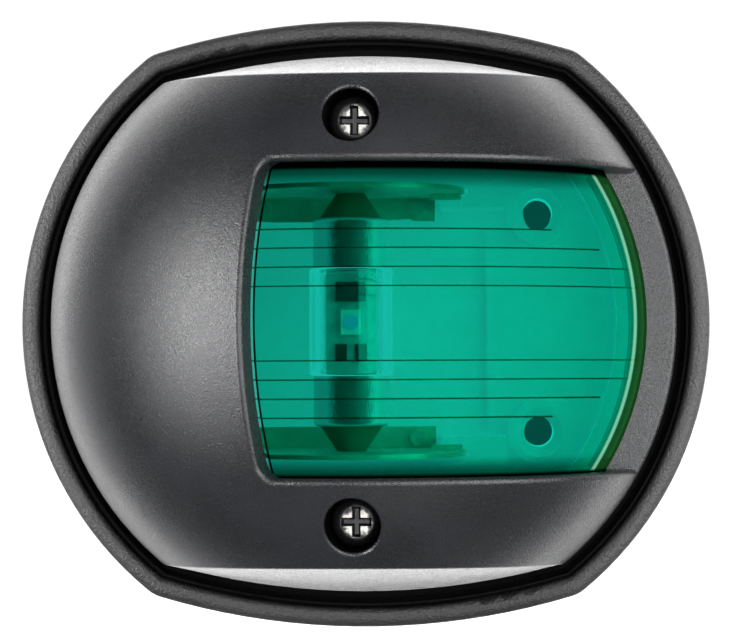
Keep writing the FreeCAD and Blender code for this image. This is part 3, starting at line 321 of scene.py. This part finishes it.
def lens_shade(m):
    """The lens's tint, and the painted glow of its forward edge, with that glow's strength and the rim's
    mask.

    The tint is white where the lens is plain. It is painted shade along the step lines, near the window's top
    and bottom, and on the forward rim. The painted glow is a bright thread just inside the rim.
    """
    x, _, up = m.split(m.place)
    from_centre = m.add("ShaderNodeVectorMath", {0: m.place, 1: (0, DOME_CENTRE, 0)}, operation="ADD")
    inside = m.math("LESS_THAN", m.length(from_centre), LENS_INSIDE)
    plan = m.math("SQRT", m.math("ADD", m.both(x, x), m.both(up, up)))

    # Painted shade: darker green near the window's top and bottom, and black at its very edge.
    top_edge = m.remap(up, 15.9 * MM, 16.25 * MM, 0.0, 1.0)
    bottom_edge = m.remap(up, -16.7 * MM, -16.4 * MM, 1.0, 0.0)
    edge = m.math("MAXIMUM", top_edge, bottom_edge)
    top_shade = m.remap(up, 14.0 * MM, 15.6 * MM, 0.0, 0.6)
    bottom_shade = m.remap(up, -16.2 * MM, -14.6 * MM, 0.6, 0.0)
    # Painted shade along the step lines.
    shade = m.blend(step_lines(m, x, up, inside), (1, 1, 1, 1), (0.04, 0.20, 0.10, 1))
    shade = m.blend(m.math("MAXIMUM", top_shade, bottom_shade), shade, (0.0, 0.10, 0.02, 1))
    shade = m.blend(m.both(edge, 0.97), shade, (0.0, 0.0, 0.0, 1))

    # Painted glow just inside the forward rim: a bright thread, and a soft green band inward of it.
    rise = m.remap(plan, 30.6 * MM, 30.75 * MM, 0.0, 1.0)
    thread = m.both(rise, m.remap(plan, 30.95 * MM, 31.1 * MM, 1.0, 0.0))
    rim = m.remap(plan, 31.0 * MM, 31.2 * MM, 0.0, 1.0)
    soft = m.both(m.remap(plan, 28.0 * MM, 30.6 * MM, 0.0, 1.0), m.math("SUBTRACT", 1.0, rim))
    glow = m.blend(soft, (0, 0, 0, 1), (0.0, 0.11, 0.05, 1))
    glow = m.blend(rim, glow, (0.006, 0.045, 0.008, 1))
    glow = m.blend(thread, glow, (0.20, 0.48, 0.30, 1))

    forward = m.remap(x, 14 * MM, 18 * MM, 0.0, 1.0)
    outer = m.both(forward, m.math("SUBTRACT", 1.0, inside))
    strength = m.both(outer, m.math("SUBTRACT", 1.0, edge))
    rim = m.both(rim, outer)
    # Painted shade on the outer face's forward rim.
    shade = m.blend(rim, shade, (0.14, 0.22, 0.12, 1))
    return shade, glow, strength, rim


def lens_glass(name, absorb, density):
    """Green polycarbonate under a polarised light: it refracts, and mirrors only at a glancing angle."""
    m = Nodes(name)
    wave = m.bump(m.noise(180, 2), 0.1, 0.00001)
    shade, glow, strength, rim = lens_shade(m)
    bend = m.add("ShaderNodeBsdfRefraction", {"Color": shade, "Roughness": 0.0, "IOR": 1.585, "Normal": wave})
    # Painted shade: the forward rim's reflection is darkened and tinted green.
    mirrored = m.blend(rim, (1, 1, 1, 1), (0.04, 0.16, 0.06, 1))
    gloss = m.add("ShaderNodeBsdfAnisotropic", {"Color": mirrored, "Roughness": 0.05, "Normal": wave})
    facing = m.add("ShaderNodeLayerWeight", {"Blend": 0.5}).outputs["Facing"]
    glancing = m.remap(facing, 0.66, 1.0, 0.0, 0.5)
    body = m.add("ShaderNodeMixShader", {0: glancing, 1: bend, 2: gloss})
    # The painted glow from lens_shade, added to the glass.
    edge_light = m.add("ShaderNodeEmission", {"Color": glow, "Strength": strength})
    lit = m.add("ShaderNodeAddShader", {0: body, 1: edge_light})
    m.lets_lamps_through(lit, (0.97, 0.97, 0.97, 1))
    volume = m.add("ShaderNodeVolumeAbsorption", {"Color": absorb, "Density": density})
    feed(m.tree, m.output.inputs["Volume"], volume)
    return m.material


def worn_screw():
    """Blackened screw, worn bright round its cross."""
    m = Nodes("black_steel")
    across, outwards, up = m.split(m.place)
    off_axis = m.math("SUBTRACT", m.math("ABSOLUTE", up), SCREW_UP)
    radius = m.math("SQRT", m.math("ADD", m.both(across, across), m.both(off_axis, off_axis)))
    patches = m.noise(1400, 3, 0.6)
    ragged = m.math("ADD", radius, m.remap(patches, 0.3, 0.7, -0.35 * MM, 0.35 * MM))
    on_top = m.remap(outwards, -25.85 * MM, -25.6 * MM, 1.0, 0.0)
    worn = m.both(m.remap(ragged, 1.25 * MM, 1.65 * MM, 1.0, 0.0), on_top)
    m.surface({
        "Base Color": m.blend(worn, (0.018, 0.018, 0.02, 1), (0.38, 0.37, 0.35, 1)),
        "Metallic": m.remap(worn, 0, 1, 0.3, 1.0),
        "Roughness": m.math("ADD", m.remap(patches, 0.3, 0.7, 0.24, 0.4), m.both(worn, -0.04)),
        "Normal": m.bump(patches, 0.3, 0.00002),
    })
    return m.material


def coated(name, colour, darker, roughness):
    """Small electronic parts: satin paint or resin with slight mottling."""
    m = Nodes(name)
    mottle = m.noise(900, 3)
    tint = m.blend(m.remap(mottle, 0.35, 0.65, 0.0, 1.0), colour, darker)
    rough = m.remap(mottle, 0.3, 0.7, roughness - 0.05, roughness + 0.08)
    m.surface({"Base Color": tint, "Roughness": rough, "Normal": m.bump(mottle, 0.2, 0.00002)})
    return m.material


def make_materials():
    """Every material, by the short name that NODE_MATERIALS uses."""
    black = (0.010, 0.0105, 0.012, 1)
    lighter_black = (0.015, 0.0155, 0.018, 1)
    lens_green = (0.0, 0.908, 0.852, 1)
    return {
        "cover": grained_plastic("black_abs", black, lighter_black, 0.30, 0.00019, 0.00008),
        "gasket": rubber("black_rubber", grey(0.014), 0.5, bead=True),
        "seal": rubber("seal_rubber", grey(0.018), 0.45),
        "base": white_plastic(),
        "contact": metal("dull_nickel", (0.62, 0.60, 0.46, 1), 0.4, (1, 8, 1), metallic=0.45),
        "rivet": metal("rivet_nickel", (0.66, 0.64, 0.52, 1), 0.36, metallic=0.45),
        "cap": cap_metal("cap_nickel", (0.14, 0.135, 0.13, 1), (0.40, 0.39, 0.37, 1)),
        "solder": metal("dull_solder", (0.62, 0.62, 0.61, 1), 0.42),
        "wire": metal("tinned_wire", (0.7, 0.69, 0.66, 1), 0.3),
        "screw": worn_screw(),
        "lens": lens_glass("green_polycarbonate", lens_green, 3300.0),
        "tube": clear("clear_tube", 1.49, 0.02, (0.96, 0.96, 0.96, 1), 0.00002),
        "board": coated("white_board", (0.42, 0.46, 0.44, 1), (0.30, 0.35, 0.325, 1), 0.35),
        "led": coated("led_package", (0.70, 0.70, 0.66, 1), (0.62, 0.62, 0.58, 1), 0.4),
        "led_window": coated("led_window", (0.35, 0.50, 0.80, 1), (0.30, 0.45, 0.72, 1), 0.3),
        "chip": coated("chip_resin", (0.02, 0.02, 0.021, 1), (0.03, 0.03, 0.03, 1), 0.45),
    }


# ---------------------------------------------------------------- CAD nodes


NODE_MATERIALS = {
    "mounting_gasket": "gasket",
    "base_moulding": "base",
    "cover_seal": "seal",
    "cable_grommet": "seal",
    "contact_plate_top": "contact",
    "contact_plate_bottom": "contact",
    "plate_rivets_top": "rivet",
    "plate_rivets_bottom": "rivet",
    "cover": "cover",
    "lens": "lens",
    "cover_screw_top": "screw",
    "cover_screw_bottom": "screw",
    "screw_seal_top": "seal",
    "screw_seal_bottom": "seal",
    "bulb_tube": "tube",
    "bulb_cap_top": "cap",
    "bulb_cap_bottom": "cap",
    "cap_solder_top": "solder",
    "cap_solder_bottom": "solder",
    "bulb_board": "board",
    "led_chip": "led",
    "led_window": "led_window",
    "driver_chip": "chip",
    "board_resistors": "chip",
    "bulb_wire_top": "wire",
    "bulb_wire_bottom": "wire",
}


def dress_nodes(materials):
    """Gives each CAD node its material and smooth shading between its sharp edges."""
    for name, key in NODE_MATERIALS.items():
        node = NODES[name]
        node.data.materials.clear()
        node.data.materials.append(materials[key])
        node.data.shade_smooth()
        node.data.set_sharp_from_angle(angle=math.radians(28))


# ---------------------------------------------------------------- stage, light and camera


def area_light(name, place, target, width, height, power):
    """A rectangular lamp that faces the target. Its power is in watts."""
    data = bpy.data.lights.new(name, "AREA")
    data.shape = "RECTANGLE"
    data.size = width
    data.size_y = height
    data.energy = power
    lamp = bpy.data.objects.new(name, data)
    bpy.context.scene.collection.objects.link(lamp)
    lamp.location = place
    lamp.rotation_euler = (Vector(target) - Vector(place)).to_track_quat("-Z", "Y").to_euler()
    return lamp


def make_stage():
    """A plain pale floor under the light."""
    mesh = bpy.data.meshes.new("floor")
    half = 3.0
    floor_z = cad_low.z - 0.03
    ends = [(-half, -half), (half, -half), (half, half), (-half, half)]
    mesh.from_pydata([(x, y, floor_z) for x, y in ends], [], [(0, 1, 2, 3)])
    floor = bpy.data.objects.new("floor", mesh)
    bpy.context.scene.collection.objects.link(floor)
    m = Nodes("pale_floor")
    cloud = m.noise(3, 2)
    shade = m.blend(cloud, (0.9, 0.9, 0.9, 1), (0.93, 0.93, 0.93, 1))
    m.surface({"Base Color": shade, "Roughness": 0.8, "Emission Color": shade, "Emission Strength": 0.9})
    mesh.materials.append(m.material)
    floor.visible_glossy = False
    floor.visible_transmission = False


def make_surround():
    """White to the eye. Mirrored, it is bright behind the light and dim on the camera's side.

    Through the lens it is dimmer again, and nearly dark straight behind the light.
    """
    world = bpy.data.worlds.new("studio")
    bpy.context.scene.world = world
    world.use_nodes = True
    tree = world.node_tree
    tree.nodes.clear()

    def add(kind, inputs=None, **settings):
        return add_node(tree, kind, inputs, **settings)

    def scaled_sum(value, scale, offset):
        return add("ShaderNodeMath", {0: value, 1: scale, 2: offset}, operation="MULTIPLY_ADD")

    direction = add("ShaderNodeTexCoord").outputs["Generated"]
    forward, behind, up = add("ShaderNodeSeparateXYZ", {0: direction}).outputs
    level = scaled_sum(forward, 0.01, 0.5)
    level = scaled_sum(up, 0.06, level)
    level = scaled_sum(behind, 0.5, level)
    ramp = add("ShaderNodeValToRGB", {"Fac": level})
    ramp.color_ramp.interpolation = "EASE"
    shades = [(0.0, 0.004), (0.35, 0.01), (0.60, 0.03), (0.78, 0.06), (0.90, 1.0), (1.0, 1.0)]
    points = ramp.color_ramp.elements
    while len(points) < len(shades):
        points.new(0.5)
    for point, (position, shade) in zip(points, shades):
        point.position = position
        point.color = (shade, shade, shade, 1)
    limits = {"Value": behind, "From Min": 0.988, "From Max": 0.993, "To Min": 1.0, "To Max": 0.14}
    not_behind = add("ShaderNodeMapRange", limits).outputs["Result"]
    path = add("ShaderNodeLightPath").outputs
    strength = scaled_sum(path["Is Transmission Ray"], -1.7, 2.5)
    strength = add("ShaderNodeMath", {0: not_behind, 1: strength}, operation="MULTIPLY")
    mirrored = add("ShaderNodeBackground", {"Color": ramp.outputs["Color"], "Strength": strength})
    seen = add("ShaderNodeBackground", {"Color": (1, 1, 1, 1), "Strength": 1.05})
    whole = add("ShaderNodeMixShader", {0: path["Is Camera Ray"], 1: mirrored, 2: seen})
    add("ShaderNodeOutputWorld", {"Surface": whole})


def make_lights():
    """Softboxes at the sides, dimmer lamps above and below, and a small one in front of the sill.

    The sill's lamp isn't seen through the lens, where its mirror image would hide the light chip.
    """
    area_light("left_softbox", (-0.72, -0.50, 0.03), (0, 0, 0), 0.40, 0.8, 17.0)
    area_light("right_softbox", (0.50, -0.72, 0.0), (0, 0, 0), 0.35, 0.6, 3.0)
    area_light("far_right_softbox", (0.82, -0.42, 0.05), (0, 0, 0), 0.5, 1.0, 11.0)
    area_light("high_lamp", (0.25, -0.58, 0.60), (0, 0, 0), 0.6, 0.35, 1.2)
    area_light("low_lamp", (0.25, -0.58, -0.60), (0, 0, 0), 0.6, 0.35, 1.2)
    sill_lamp = area_light("sill_lamp", (0.16, -0.89, 0), (0, 0, 0), 0.34, 0.4, 4.4)
    sill_lamp.visible_transmission = False


def make_camera():
    """At the photo's angle: a little forward of the light and below its middle."""
    data = bpy.data.cameras.new("camera")
    camera = bpy.data.objects.new("camera", data)
    bpy.context.scene.collection.objects.link(camera)
    place = Vector((17.0, -368.0, -5.0)) * MM
    target = Vector((0.0, -3.0, 0.0)) * MM
    camera.location = place
    camera.rotation_mode = "QUATERNION"
    roll = Matrix.Rotation(math.radians(-0.3), 4, "Z").to_quaternion()
    camera.rotation_quaternion = (target - place).to_track_quat("-Z", "Y") @ roll
    data.sensor_width = 36.0
    data.lens = 153.8
    data.shift_x = 0.00137
    data.shift_y = 0.00587
    data.clip_start = 0.01
    data.clip_end = 20.0
    bpy.context.scene.camera = camera


def set_view():
    """Plain colours, with no film look."""
    settings = bpy.context.scene.view_settings
    settings.view_transform = "Standard"
    settings.look = "None"


materials = make_materials()
dress_nodes(materials)
make_stage()
make_surround()
make_lights()
make_camera()
set_view()
